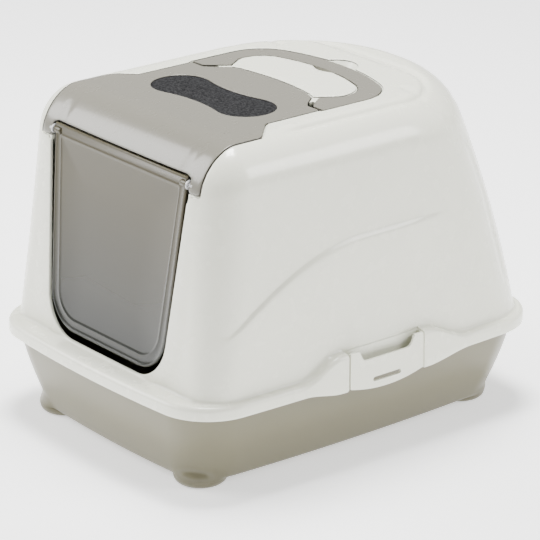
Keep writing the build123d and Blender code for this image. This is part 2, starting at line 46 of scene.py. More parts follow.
def addObject(name, data):
    # A new object in the scene, at the origin
    made = bpy.data.objects.new(name, data)
    bpy.context.scene.collection.objects.link(made)
    return made


def setInputs(node, values):
    # Sets a shader node's own sockets by their names
    for name, value in values.items():
        node.inputs[name].default_value = value


def freshMaterial(name):
    # A new material, its node tree and its main shader
    material = bpy.data.materials.new(name)
    material.use_nodes = True
    return material, material.node_tree, material.node_tree.nodes["Principled BSDF"]


# Camera: placed from the photograph's perspective, for a square picture
cameraSetup = {"azimuth": 51.188, "elevation": 21.005, "distance": 3.4026, "targetHeight": 0.150,
               "lens": 205.71, "sensor": 36.0, "shiftX": 0.00565, "shiftY": 0.00711, "clipEnd": 30.0}


def placeCamera(setup):
    # Stands back from the target by the distance, along (sin a cos e, -cos a cos e, sin e), and faces it
    azimuth, elevation = np.radians(setup["azimuth"]), np.radians(setup["elevation"])
    back = Vector((np.sin(azimuth) * np.cos(elevation), -np.cos(azimuth) * np.cos(elevation),
                   np.sin(elevation)))
    data = bpy.data.cameras.new("photoCamera")
    data.sensor_width, data.lens, data.clip_end = setup["sensor"], setup["lens"], setup["clipEnd"]
    data.shift_x, data.shift_y = setup["shiftX"], setup["shiftY"]
    camera = addObject("photoCamera", data)
    camera.location = Vector((0, 0, setup["targetHeight"])) + back * setup["distance"]
    camera.rotation_euler = back.to_track_quat("Z", "Y").to_euler()
    bpy.context.scene.camera = camera


placeCamera(cameraSetup)

# Studio: a pale glowing floor in a soft bright surround, a large key light and two smaller ones
studio = {"floorSize": 60.0, "floorColor": (0.93, 0.93, 0.93, 1), "floorGlow": 0.95, "floorRoughness": 0.7,
          "worldColor": (1, 1, 1, 1), "worldStrength": 0.45,
          "keyPlace": (-2.2, -1.9, 1.9), "keySize": 2.0, "keyPower": 125.0,
          "topPlace": (-0.3, 0.2, 2.8), "topSize": 1.0, "topPower": 190.0,
          "sidePlace": (2.3, 1.95, 1.75), "sideSize": 1.2, "sidePower": 65.0}


def areaLight(name, place, size, power):
    # A square soft light that faces the object's middle
    light = bpy.data.lights.new(name, "AREA")
    light.shape, light.size, light.energy = "SQUARE", size, power
    lamp = addObject(name, light)
    lamp.location = place
    toTarget = Vector(place) - Vector((0, 0, cameraSetup["targetHeight"]))
    lamp.rotation_euler = toTarget.to_track_quat("Z", "Y").to_euler()


def makeStudio(setup):
    # A square floor at height zero, an even surround and the three lights
    half = setup["floorSize"] / 2
    mesh = bpy.data.meshes.new("floor")
    corners = [(-half, -half, 0), (half, -half, 0), (half, half, 0), (-half, half, 0)]
    mesh.from_pydata(corners, [], [(0, 1, 2, 3)])
    floor = addObject("floor", mesh)
    paint, _, shader = freshMaterial("paleFloor")
    setInputs(shader, {"Base Color": setup["floorColor"], "Roughness": setup["floorRoughness"],
                       "Emission Color": setup["floorColor"], "Emission Strength": setup["floorGlow"]})
    mesh.materials.append(paint)
    world = bpy.data.worlds.new("softSurround")
    bpy.context.scene.world = world
    world.use_nodes = True
    setInputs(world.node_tree.nodes["Background"],
              {"Color": setup["worldColor"], "Strength": setup["worldStrength"]})
    for name in ("key", "top", "side"):
        areaLight(name + "Light", setup[name + "Place"], setup[name + "Size"], setup[name + "Power"])


makeStudio(studio)
print("camera and studio ready")


# Shared effect: moulded plastic, a slow drift of tone, a fine flow grain and a faint scatter of scuffs
mouldedEffect = {"driftNoise": (5.0, 2.0), "grainNoise": (900.0, 3.0), "scuffNoise": (60.0, 6.0),
                 "driftMiddle": 0.5, "scuffLevel": 0.55,
                 "start": {"Roughness": 0.3, "Drift": 0.04, "Grain": 0.15, "Scuffs": 0.1}}


def mouldedGroup(effect):
    # Colour times 1 + drift * (noise - middle), roughness plus scuffs * (noise above its level), and a
    # height of grain * noise. Each noise is a scale and a detail.
    group = bpy.data.node_groups.new("mouldedSurface", "ShaderNodeTree")
    face = group.interface
    face.new_socket("Color", in_out="INPUT", socket_type="NodeSocketColor")
    for name, start in effect["start"].items():
        face.new_socket(name, in_out="INPUT", socket_type="NodeSocketFloat").default_value = start
    face.new_socket("Color", in_out="OUTPUT", socket_type="NodeSocketColor")
    face.new_socket("Roughness", in_out="OUTPUT", socket_type="NodeSocketFloat")
    face.new_socket("Height", in_out="OUTPUT", socket_type="NodeSocketFloat")
    add, link = group.nodes.new, group.links.new
    entry, leave, place = add("NodeGroupInput"), add("NodeGroupOutput"), add("ShaderNodeTexCoord")

    def noise(scale, detail):
        node = add("ShaderNodeTexNoise")
        setInputs(node, {"Scale": scale, "Detail": detail})
        link(place.outputs["Object"], node.inputs["Vector"])
        return node.outputs["Fac"]

    def math(operation, first, second):
        node = add("ShaderNodeMath")
        node.operation = operation
        for socket, value in zip(node.inputs, (first, second)):
            if isinstance(value, (int, float)):
                socket.default_value = value
            else:
                link(value, socket)
        return node.outputs[0]

    slow, fine, patchy = [noise(*effect[part]) for part in ("driftNoise", "grainNoise", "scuffNoise")]
    drift = math("SUBTRACT", slow, effect["driftMiddle"])
    tone = math("ADD", math("MULTIPLY", drift, entry.outputs["Drift"]), 1.0)
    tint = add("ShaderNodeVectorMath")
    tint.operation = "SCALE"
    link(entry.outputs["Color"], tint.inputs[0])
    link(tone, tint.inputs["Scale"])
    link(tint.outputs["Vector"], leave.inputs["Color"])
    above = math("MAXIMUM", math("SUBTRACT", patchy, effect["scuffLevel"]), 0.0)
    scuff = math("MULTIPLY", above, entry.outputs["Scuffs"])
    link(math("ADD", entry.outputs["Roughness"], scuff), leave.inputs["Roughness"])
    link(math("MULTIPLY", fine, entry.outputs["Grain"]), leave.inputs["Height"])
    return group


moulded = mouldedGroup(mouldedEffect)


def tintByHeight(tree, surface, look):
    # Colours a piece from lowColor to color between two heights of its own mesh
    place, split = tree.nodes.new("ShaderNodeTexCoord"), tree.nodes.new("ShaderNodeSeparateXYZ")
    span, ramp = tree.nodes.new("ShaderNodeMapRange"), tree.nodes.new("ShaderNodeValToRGB")
    setInputs(span, {"From Min": look["lowZ"], "From Max": look["highZ"]})
    for stop, tone in zip(ramp.color_ramp.elements, (look["lowColor"], look["color"])):
        stop.color = (*tone, 1)
    tree.links.new(place.outputs["Object"], split.inputs[0])
    tree.links.new(split.outputs["Z"], span.inputs["Value"])
    tree.links.new(span.outputs["Result"], ramp.inputs["Fac"])
    tree.links.new(ramp.outputs["Color"], surface.inputs["Color"])


def addBump(tree, shader, height, look):
    # Turns a height into the shader's normal
    bump = tree.nodes.new("ShaderNodeBump")
    setInputs(bump, {"Strength": look["bump"], "Distance": look["bumpDistance"]})
    tree.links.new(height, bump.inputs["Height"])
    tree.links.new(bump.outputs["Normal"], shader.inputs["Normal"])


# What every moulded finish has unless its own look says otherwise, and the looks
plasticLook = {"coat": 0.15, "coatRoughness": 0.12, "ior": 1.49, "specular": 0.5, "alpha": 1.0,
               "transmission": 0.0, "bump": 0.25, "bumpDistance": 0.00005}
looks = {
    "hoodWhite": {"color": (0.78, 0.785, 0.665), "roughness": 0.27, "drift": 0.05, "grain": 0.2,
                  "scuffs": 0.1, "coat": 0.4},
    "lidTaupe": {"color": (0.165, 0.157, 0.128), "roughness": 0.27, "drift": 0.06, "grain": 0.2,
                 "scuffs": 0.1, "coat": 0.35},
    "trayTaupe": {"color": (0.138, 0.126, 0.072), "roughness": 0.32, "drift": 0.07, "grain": 0.3,
                  "scuffs": 0.15},
    "smokyDoor": {"color": (0.07, 0.061, 0.036), "lowColor": (0.018, 0.019, 0.015), "lowZ": 0.14,
                  "highZ": 0.29, "roughness": 0.25, "drift": 0.08, "grain": 0.1, "scuffs": 0.04,
                  "alpha": 0.98, "coat": 0.1, "specular": 0.35},
    # seamShade is painted shade: the shadow at the bottom of narrow seams, not a colour of the plastic
    "seamShade": {"color": (0.035, 0.031, 0.026), "roughness": 0.6, "drift": 0.05, "grain": 0.1,
                  "scuffs": 0.1, "coat": 0.0},
    "clearPivot": {"color": (0.6, 0.6, 0.6), "roughness": 0.2, "drift": 0.03, "grain": 0.1,
                   "scuffs": 0.2, "transmission": 0.3},
}


def mouldedMaterial(name, look):
    # The shared effect feeds colour, roughness and bump; the rest are the shader's own constants
    look = {**plasticLook, **look}
    material, tree, shader = freshMaterial(name)
    surface = tree.nodes.new("ShaderNodeGroup")
    surface.node_tree = moulded
    setInputs(surface, {"Color": (*look["color"], 1), "Roughness": look["roughness"],
                        "Drift": look["drift"], "Grain": look["grain"], "Scuffs": look["scuffs"]})
    if "lowColor" in look:
        tintByHeight(tree, surface, look)
    tree.links.new(surface.outputs["Color"], shader.inputs["Base Color"])
    tree.links.new(surface.outputs["Roughness"], shader.inputs["Roughness"])
    addBump(tree, shader, surface.outputs["Height"], look)
    setInputs(shader, {"IOR": look["ior"], "Coat Weight": look["coat"], "Alpha": look["alpha"],
                       "Coat Roughness": look["coatRoughness"], "Specular IOR Level": look["specular"],
                       "Transmission Weight": look["transmission"]})
    return material


feltLook = {"dark": (0.004, 0.004, 0.0045), "light": (0.03, 0.03, 0.031), "darkAt": 0.15, "lightAt": 0.36,
            "fibre": 900.0, "fibreDetail": 5.0, "clump": 420.0, "clumpDetail": 3.0,
            "roughness": 0.95, "specular": 0.06, "bump": 0.6, "bumpDistance": 0.0004}


def feltMaterial(name, look):
    # Carbon-loaded felt: fine fibre noise times soft clumps sets both the heathered grey and the nap
    material, tree, shader = freshMaterial(name)
    place, product = tree.nodes.new("ShaderNodeTexCoord"), tree.nodes.new("ShaderNodeMath")
    product.operation = "MULTIPLY"
    for socket, part in zip(product.inputs, ("fibre", "clump")):
        noise = tree.nodes.new("ShaderNodeTexNoise")
        setInputs(noise, {"Scale": look[part], "Detail": look[part + "Detail"]})
        tree.links.new(place.outputs["Object"], noise.inputs["Vector"])
        tree.links.new(noise.outputs["Fac"], socket)
    ramp = tree.nodes.new("ShaderNodeValToRGB")
    for stop, part in zip(ramp.color_ramp.elements, ("dark", "light")):
        stop.position, stop.color = look[part + "At"], (*look[part], 1)
    tree.links.new(product.outputs[0], ramp.inputs["Fac"])
    tree.links.new(ramp.outputs["Color"], shader.inputs["Base Color"])
    addBump(tree, shader, product.outputs[0], look)
    setInputs(shader, {"Roughness": look["roughness"], "Specular IOR Level": look["specular"]})
    return material


materials = {name: mouldedMaterial(name, look) for name, look in looks.items()}
materials["carbonFelt"] = feltMaterial("carbonFelt", feltLook)
finishes = {"hood": "hoodWhite", "side_clip_left": "hoodWhite", "side_clip_right": "hoodWhite",
            "flip_lid": "lidTaupe", "carry_handle": "lidTaupe", "filter_holder": "lidTaupe",
            "tray": "trayTaupe", "swing_door": "smokyDoor", "door_pivot_left": "clearPivot",
            "door_pivot_right": "clearPivot", "carbon_filter": "carbonFelt"}
for name, finish in finishes.items():
    nodes[name].data.materials.clear()
    nodes[name].data.materials.append(materials[finish])
print("materials ready")


# Functions and sizes that several pieces share, in millimetres as in the solids
def smooth(share):
    # Eases from 0 to 1: 3 t^2 - 2 t^3, with t held between 0 and 1
    held = np.clip(share, 0, 1)
    return held * held * (3 - 2 * held)


def between(start, end, share):
    # A share of the way from start to end
    return start + (end - start) * share


def unit(vectors):
    # Each vector over its length
    return vectors / np.maximum(np.linalg.norm(vectors, axis=-1, keepdims=True), tiny)


# How many points each arc of an outline gets, from the front's middle round to the rear's middle
loopPlan = {"front": 22, "frontCorner": 20, "side": 84, "rearCorner": 34, "rear": 18}
halfCount = sum(loopPlan.values()) + 1
quarterTurn = np.pi / 2


def bowedLoop(halfX, frontY, rearY, frontCorner, rearCorner, sideBow, endBow):
    # A rounded rectangle with bowed sides as five tangent arcs and their mirror image: each point is the
    # arc's centre plus its radius times the cosine and sine of an evenly stepped angle
    sizes = np.broadcast_arrays(halfX, frontY, rearY, frontCorner, rearCorner, sideBow, endBow,
                                np.zeros((1, halfCount)))
    halfX, frontY, rearY, frontCorner, rearCorner, sideBow, endBow = sizes[:-1]
    midY, halfY = (frontY + rearY) / 2, (rearY - frontY) / 2
    sideRadius = (halfY**2 + sideBow**2) / (2 * sideBow)
    endRadius = (halfX**2 + endBow**2) / (2 * endBow)
    sideX, frontEnd, rearEnd = halfX - sideRadius, frontY + endRadius, rearY - endRadius

    def cornerCentre(endY, corner):
        reach, far, span = sideRadius - corner, endRadius - corner, np.hypot(sideX, endY - midY)
        stepX, stepY = -sideX / span, (endY - midY) / span
        along = (reach**2 - far**2 + span**2) / (2 * span)
        aside = np.sqrt(np.maximum(reach**2 - along**2, 0))
        return (sideX + stepX * along + np.abs(stepY) * aside,
                midY + stepY * along - np.sign(stepY) * stepX * aside)

    frontX, frontC = cornerCentre(frontEnd, frontCorner)
    rearX, rearC = cornerCentre(rearEnd, rearCorner)
    turns = [np.full_like(midY, -quarterTurn), np.arctan2(frontC - frontEnd, frontX),
             np.arctan2(frontC - midY, frontX - sideX), np.arctan2(rearC - midY, rearX - sideX),
             np.arctan2(rearC - rearEnd, rearX), np.full_like(midY, quarterTurn)]
    zero = np.zeros_like(midY)
    centres = [(zero, frontEnd, endRadius), (frontX, frontC, frontCorner), (sideX, midY, sideRadius),
               (rearX, rearC, rearCorner), (zero, rearEnd, endRadius)]
    x, y, start = np.zeros_like(midY), np.zeros_like(midY), 0
    for (centreX, centreY, radius), first, last, count in zip(centres, turns, turns[1:], loopPlan.values()):
        stop = start + count
        angle = between(first[:, start:stop], last[:, start:stop], np.arange(count) / count)
        x[:, start:stop] = centreX[:, start:stop] + radius[:, start:stop] * np.cos(angle)
        y[:, start:stop] = centreY[:, start:stop] + radius[:, start:stop] * np.sin(angle)
        start = stop
    x[:, -1], y[:, -1] = 0, rearY[:, -1]
    return np.hstack([x, -x[:, -2:0:-1]]), np.hstack([y, y[:, -2:0:-1]])


def levelLoop(*sizes):
    # One bowed loop of plain sizes, as its X and its Y
    x, y = bowedLoop(*(np.array([[size]]) for size in sizes))
    return x[0], y[0]


# Hood walls: each size at a height is a start, a lean and a curve, drawn in by its round shoulder
hoodForm = {"top": 371.0, "datum": 123.0, "halfX": (184.0, -0.053, -2.5), "frontY": (-223.0, 0.107, 0.0),
            "rearY": (236.0, -0.054, -28.4), "frontCorner": (37.0, 0.086, -20.2),
            "rearCorner": (62.4, 0.363, 0.0), "tightening": 1.186, "leastCorner": 8.0,
            "sideBow": (4.7, -0.016), "leastBow": 1.0, "endBow": 2.9,
            "sideShoulder": 42.9, "frontShoulder": 50.0, "rearShoulder": 26.3}


def hoodLoop(z):
    # The hood's outline at height z, for z given for each row and column of one half. Each size is
    # start + lean * height + curve * (share of the height)^2, and a shoulder of radius r draws it in by
    # r - sqrt(r^2 - h^2) at h above the shoulder's start.
    form = hoodForm
    up = z - form["datum"]
    curved = (up / (form["top"] - form["datum"]))**2

    def size(name):
        start, lean, curve = form[name]
        return start + lean * up + curve * curved

    def drawIn(name):
        radius = form[name]
        inside = np.clip(z - (form["top"] - radius), 0, radius)
        return radius - np.sqrt(radius**2 - inside**2)

    side, front, rear = drawIn("sideShoulder"), drawIn("frontShoulder"), drawIn("rearShoulder")
    frontCorner = np.maximum(size("frontCorner") - form["tightening"] * side, form["leastCorner"])
    rearCorner = np.maximum(size("rearCorner") - form["tightening"] * rear, form["leastCorner"])
    sideBow = np.maximum(form["sideBow"][0] + form["sideBow"][1] * up, form["leastBow"])
    return bowedLoop(size("halfX") - side, size("frontY") + front, size("rearY") - rear, frontCorner,
                     rearCorner, sideBow, form["endBow"])


def roundCorners(points, radii, steps):
    # A closed outline whose corners are arcs: each arc's centre lies on the corner's bisector at
    # radius / sin(half angle), and the arc runs between the two tangent points
    outline = []
    for before, corner, after, radius in zip(np.roll(points, 1, axis=0), points, np.roll(points, -1, axis=0),
                                             radii):
        toBefore = (before - corner) / np.linalg.norm(before - corner)
        toAfter = (after - corner) / np.linalg.norm(after - corner)
        half = np.arccos(np.clip(toBefore @ toAfter, -1, 1)) / 2
        middle = (toBefore + toAfter) / np.linalg.norm(toBefore + toAfter)
        centre = corner + middle * radius / np.sin(half)
        first = corner + toBefore * radius / np.tan(half) - centre
        last = corner + toAfter * radius / np.tan(half) - centre
        share = np.linspace(0, 1, steps)[:, None]
        spread = np.arccos(np.clip(first @ last / (np.linalg.norm(first) * np.linalg.norm(last)), -1, 1))
        outline.append(centre + (np.sin((1 - share) * spread) * first + np.sin(share * spread) * last)
                       / np.sin(spread))
    return np.vstack(outline)


def outlineDistance(x, y, outline):
    # Distance from points to a closed outline, below zero inside: the least distance to its edges, with
    # its sign from how often a ray along +X crosses them
    ends = np.roll(outline, -1, axis=0)
    least, inside = np.full(x.shape, np.inf), np.zeros(x.shape, bool)
    for (startX, startY), (endX, endY) in zip(outline, ends):
        alongX, alongY = endX - startX, endY - startY
        share = np.clip(((x - startX) * alongX + (y - startY) * alongY)
                        / max(alongX**2 + alongY**2, tiny), 0, 1)
        least = np.minimum(least, np.hypot(x - startX - share * alongX, y - startY - share * alongY))
        if abs(alongY) > tiny:
            crosses = ((startY > y) != (endY > y)) & (x < startX + (y - startY) / alongY * alongX)
            inside ^= crosses
    return np.where(inside, -least, least)


def gridNormals(points):
    # Outward normals of a grid that closes round its columns: the cross product of its two steps
    across = np.roll(points, -1, axis=1) - np.roll(points, 1, axis=1)
    return unit(np.cross(across, np.gradient(points, axis=0)))


def gridCells(rows, columns):
    # Point numbers at the four corners of each cell of a grid that closes round its columns
    index = np.arange(rows * columns).reshape(rows, columns)
    low, high = index[:-1], index[1:]
    return low, np.roll(low, -1, axis=1), np.roll(high, -1, axis=1), high


def gridTriangles(rows, columns):
    # Two triangles for each cell of such a grid
    low, lowNext, highNext, high = gridCells(rows, columns)
    return np.vstack([np.stack(sides, axis=-1).reshape(-1, 3)
                      for sides in ((low, lowNext, highNext), (low, highNext, high))])


def closedGrid(rows):
    # Points and triangles of such a grid whose first and last rows are single points
    body = rows[1:-1]
    count, columns = body.shape[:2]
    total, firstRow = count * columns, np.arange(columns)
    lastRow = firstRow + total - columns
    faces = [gridTriangles(count, columns),
             np.column_stack([np.full(columns, total), np.roll(firstRow, -1), firstRow]),
             np.column_stack([np.full(columns, total + 1), lastRow, np.roll(lastRow, -1)])]
    return np.vstack([body.reshape(-1, 3), rows[:1, 0], rows[-1:, 0]]), np.vstack(faces)


def joinParts(parts):
    # One mesh from several: each part's point numbers start after those of the parts before it
    starts = np.cumsum([0] + [len(points) for points, _ in parts])
    return (np.vstack([points for points, _ in parts]),
            np.vstack([faces + start for (_, faces), start in zip(parts, starts)]))


def newPiece(name, points, faces, material, body, sharpAngle):
    # A smooth mesh piece from points in millimetres, crisp past an angle, riding on a body
    mesh = bpy.data.meshes.new(name)
    mesh.from_pydata((points * mm).tolist(), [], faces.tolist())
    mesh.update()
    mesh.shade_smooth()
    mesh.set_sharp_from_angle(angle=np.radians(sharpAngle))
    mesh.materials.append(material)
    piece = addObject(name, mesh)
    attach(piece, body)
    return piece


def clipTriangles(points, triangles, keep):
    # Keeps the part of each triangle where keep is above zero: an edge that crosses zero is cut at
    # keep0 / (keep0 - keep1) of its length, and both neighbours share the cut point
    inside = keep[triangles] > 0
    count = inside.sum(axis=1)
    whole = triangles[count == 3]
    oneIn, twoIn = triangles[count == 1], triangles[count == 2]

    def turned(some, first):
        order = (first[:, None] + np.arange(3)) % 3
        return np.take_along_axis(some, order, axis=1)

    oneIn = turned(oneIn, np.argmax(keep[oneIn] > 0, axis=1))
    twoIn = turned(twoIn, np.argmin(keep[twoIn] > 0, axis=1))
    edges = np.vstack([oneIn[:, [0, 1]], oneIn[:, [0, 2]], twoIn[:, [0, 1]], twoIn[:, [0, 2]]])
    unique, back = np.unique(np.sort(edges, axis=1), axis=0, return_inverse=True)
    share = keep[unique[:, 0]] / (keep[unique[:, 0]] - keep[unique[:, 1]])
    cuts = between(points[unique[:, 0]], points[unique[:, 1]], share[:, None])
    back = back.reshape(-1) + len(points)
    ones, twos = len(oneIn), len(twoIn)
    a, b, c, d = np.split(back, np.cumsum([ones, ones, twos]))
    kept = np.vstack([whole, np.column_stack([oneIn[:, 0], a, b]),
                      np.column_stack([c, twoIn[:, 1], twoIn[:, 2]]), np.column_stack([c, twoIn[:, 2], d])])
    return np.vstack([points, cuts]), kept, unique, share


def trimmedShell(points, keep, thick, edgeRound, steps=4):
    # A closed shell from a grid and a field that is above zero where it stays. The grid is clipped, each
    # cut edge turns over a quarter circle of radius edgeRound, sin outwards and 1 - cos downwards, and an
    # inner face lies thick below the outer one.
    flat, normals = points.reshape(-1, 3), gridNormals(points).reshape(-1, 3)
    flat, kept, unique, share = clipTriangles(flat, gridTriangles(*keep.shape), keep.ravel())
    cutNormals = between(normals[unique[:, 0]], normals[unique[:, 1]], share[:, None])
    normals = unit(np.vstack([normals, cutNormals]))
    used, kept = np.unique(kept, return_inverse=True)
    kept, flat, normals = kept.reshape(-1, 3), flat[used], normals[used]
    total = len(flat)
    edges = np.vstack([kept[:, [0, 1]], kept[:, [1, 2]], kept[:, [2, 0]]])
    forward, backward = edges[:, 0] * total + edges[:, 1], edges[:, 1] * total + edges[:, 0]
    rim = edges[~np.isin(forward, backward)]
    along = unit(flat[rim[:, 1]] - flat[rim[:, 0]])
    outward = np.zeros_like(flat)
    for end in (0, 1):
        np.add.at(outward, rim[:, end], np.cross(along, normals[rim[:, end]]))
    border = np.unique(rim)
    place = np.zeros(total, int)
    place[border] = np.arange(len(border))
    first, second = place[rim[:, 0]], place[rim[:, 1]]
    side, lift = unit(outward)[border] * edgeRound, normals[border]
    rings, previous, faces = [], border, [kept]

    def joinRows(upper, lower):
        faces.extend([np.column_stack([upper[second], upper[first], lower[first]]),
                      np.column_stack([upper[second], lower[first], lower[second]])])

    for angle in np.linspace(0, quarterTurn, steps)[1:]:
        current = total + len(rings) * len(border) + np.arange(len(border))
        rings.append(flat[border] + side * np.sin(angle) - lift * edgeRound * (1 - np.cos(angle)))
        joinRows(previous, current)
        previous = current
    inner = flat - normals * thick
    inner[border] += side
    innerStart = total + len(rings) * len(border)
    joinRows(previous, innerStart + border)
    faces.append(kept[:, ::-1] + innerStart)
    deep = np.zeros(sum(len(part) for part in faces), bool)
    edgeFaces = 4 * len(rim)  # two each for the edge's last turn and the wall under it
    deep[-len(kept) - edgeFaces:-len(kept)] = True
    return np.vstack([flat, *rings, inner]), np.vstack(faces), deep


def makeSkin(name, surface, keep, look, material, body):
    # The shell that a field leaves of a surface. The deep faces of its edges above a height are painted with
    #  the seam's shade, a painted shadow at the bottom of the seam, so that a narrow seam reads as a dark
    #  line.
    points, faces, deep = trimmedShell(surface, keep - look["edgeRound"] + look["proudEdge"],
                                       look["shellDepth"], look["edgeRound"])
    shell = newPiece(name, points, faces, material, body, look["sharpAngle"])
    high = points[faces][..., 2].mean(axis=1) > look["shadeAbove"]
    # painted shade: the seam's shadow is coloured onto the deep edge faces above the height
    shell.data.materials.append(materials["seamShade"])
    shell.data.polygons.foreach_set("material_index", (deep & high).astype(np.int32))
    return shell


coreSharpAngle = 25.0


def coreBelow(name, node, points, depth, material, body):
    # A merged copy of a CAD node whose outer points are drawn in until they lie depth below a skin's
    # nearest face, so that the skin covers it and its inner construction stays exact
    quads = np.stack(gridCells(*points.shape[:2]), axis=-1).reshape(-1, 4)
    skin = BVHTree.FromPolygons((points.reshape(-1, 3) * mm).tolist(), quads.tolist())
    copy = bmesh.new()
    copy.from_mesh(nodes[node].data)
    bmesh.ops.remove_doubles(copy, verts=copy.verts, dist=weldDistance)
    for vertex in copy.verts:
        nearest, normal, _, _ = skin.find_nearest(vertex.co)
        height = (vertex.co - nearest).dot(normal)
        if height > -depth * mm:
            vertex.co = nearest - normal * depth * mm
    mesh = bpy.data.meshes.new(name)
    copy.to_mesh(mesh)
    copy.free()
    if "custom_normal" in mesh.attributes:
        mesh.attributes.remove(mesh.attributes["custom_normal"])
    mesh.materials.clear()
    mesh.materials.append(material)
    mesh.shade_smooth()
    mesh.set_sharp_from_angle(angle=np.radians(coreSharpAngle))
    piece = addObject(name, mesh)
    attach(piece, body)
    return piece


# Rim of the hood, deepened beside each clip, and the grid of the whole hood from its lip to its top
rimForm = {"halfX": 195.7, "halfY": 250.0, "corner": 63.6, "sideBow": 7.9, "endBow": 11.9, "bottom": 94.0,
           "top": 108.0, "round": 5.5, "fillet": 4.0, "leastLedge": 1.3, "skirtRows": 5, "roundSteps": 7,
           "ledgeRows": 3, "filletSteps": 5, "sharedRows": 4}
humpForm = {"centreY": 7.0, "top": 128.5, "low": 86.5, "flat": 60.0, "frontRun": 50.0, "rearRun": 62.0,
            "reachX": 10.0}
wallRows = {"below": 20, "above": 20, "shoulder": 42, "top": 36, "belowCrowding": 1.6, "aboveCrowding": 1.5,
            "topCrowding": 1.6}
sweepLine = {"level": 251.5, "drop": 72.5, "startY": -15.0, "run": 175.6, "power": 1.82, "proud": 3.0,
             "step": 4.2, "fade": 88.0, "frontY": -207.0, "frontRun": 45.0, "rearY": 118.0, "rearRun": 85.0,
             "columnZ": 215.0, "sideFrom": 0.4, "sideRun": 0.4}
topPole = np.array([0.0, -60.0])  # where the rows of the top meet, in an opening of both shells


def rimLoop(inset):
    # The rim's outline, drawn in by an inset
    form = rimForm
    halfX, halfY, corner = form["halfX"] - inset, form["halfY"] - inset, form["corner"] - inset
    return levelLoop(halfX, -halfY, halfY, corner, corner, form["sideBow"], form["endBow"])


def humpShare(y):
    # Share of the rim's rise to its hump: 1 beside the clip, eased down to 0 past it
    away = y - humpForm["centreY"]
    run = np.where(away < 0, humpForm["frontRun"], humpForm["rearRun"])
    return 1 - smooth((np.abs(away) - humpForm["flat"]) / run)


def sweepHeight(y):
    # Height of the long moulded line on the side wall: level - drop * (share of the run)^power
    back = np.clip(sweepLine["startY"] - y, 0, sweepLine["run"]) / sweepLine["run"]
    return sweepLine["level"] - sweepLine["drop"] * back**sweepLine["power"]


def hoodGrid():
    # Rows of the hood from the lip of its skirt, over the rim, up the wall and shoulders to the top. The
    # wall's foot is a curve of degree two, and its rows crowd by a power of their share.
    form = rimForm
    rimX, rimY = rimLoop(0)
    rise = humpShare(rimY) * (np.abs(rimX) > hoodForm["halfX"][0] - humpForm["reachX"])
    top, low = between(form["top"], humpForm["top"], rise), between(form["bottom"], humpForm["low"], rise)
    rows = []
    for share in np.linspace(0, 1, form["skirtRows"]):
        rows.append((rimX, rimY, between(low, top - form["round"], share)))
    for angle in np.linspace(0, quarterTurn, form["roundSteps"])[1:]:
        x, y = rimLoop(form["round"] * (1 - np.cos(angle)))
        rows.append((x, y, top - form["round"] * (1 - np.sin(angle))))
    innerX, innerY = rows[-1][:2]
    wallX, wallY = hoodLoop(top[None, :halfCount])
    wallX, wallY = wallX[0], wallY[0]
    ledge = np.hypot(wallX - innerX, wallY - innerY)
    reach = 1 - form["fillet"] / np.maximum(ledge, form["fillet"] * form["leastLedge"])
    footX, footY = between(innerX, wallX, reach), between(innerY, wallY, reach)
    for share in np.linspace(0, 1, form["ledgeRows"])[1:]:
        rows.append((between(innerX, footX, share), between(innerY, footY, share), top))
    base = top + form["fillet"]
    aboveX, aboveY = hoodLoop(base[None, :halfCount])
    corners = ((footX, wallX, aboveX[0]), (footY, wallY, aboveY[0]), (top, top, base))
    for share in np.linspace(0, 1, form["filletSteps"])[1:-1]:
        weights = ((1 - share)**2, 2 * share * (1 - share), share**2)
        rows.append(tuple(sum(weight * part for weight, part in zip(weights, parts)) for parts in corners))
    shoulderStart = hoodForm["top"] - hoodForm["frontShoulder"]
    line = sweepHeight(hoodLoop(np.full((1, halfCount), sweepLine["columnZ"]))[1][0])
    below = 1 - (1 - np.linspace(0, 1, wallRows["below"]))**wallRows["belowCrowding"]
    above = np.linspace(0, 1, wallRows["above"])[1:]**wallRows["aboveCrowding"]
    heights = [between(base, line, share) for share in below]
    heights += [between(line, shoulderStart, share) for share in above]
    heights += [np.full_like(line, shoulderStart + hoodForm["frontShoulder"] * np.sin(angle))
                for angle in np.linspace(0, quarterTurn, wallRows["shoulder"])[1:]]
    heights = np.array(heights)
    x, y = hoodLoop(heights[:, :halfCount])
    rows += list(zip(x, y, heights))
    lastX, lastY = rows[-1][:2]
    for share in np.linspace(0, 1, wallRows["top"])[1:]**wallRows["topCrowding"]:
        rows.append((between(lastX, topPole[0], share), between(lastY, topPole[1], share),
                     np.full_like(lastX, hoodForm["top"])))
    return np.array([np.stack(row, axis=-1) for row in rows])


rimRows = sum(rimForm[part] for part in ("skirtRows", "roundSteps", "ledgeRows", "filletSteps"))
rimRows -= rimForm["sharedRows"]

# Doorway: outlines on the leaning plane of its raised frame, by half width, widening and height
doorwayForm = {"sill": 110.0, "frameY": -224.5, "lean": 0.112, "halfX": 100.7, "flare": 0.096,
               "corner": 48.0, "height": 236.0, "frameHalfX": 126.0, "frameFlare": 0.03,
               "frameLow": -8.0, "frameCorner": 60.0, "frameHeight": 212.0, "frameBlend": 3.0,
               "reachY": 90.0, "reachBelow": 20.0, "rimMargin": 2.0}


def doorwayOutline(halfX, flare, low, high, corner, upper=1.0, steps=14):
    # A doorway outline with round lower corners, its half width halfX + flare * height
    corners = np.array([(-halfX - flare * low, low), (halfX + flare * low, low),
                        (halfX + flare * high, high), (-halfX - flare * high, high)])
    return roundCorners(corners, (corner, corner, upper, upper), steps)


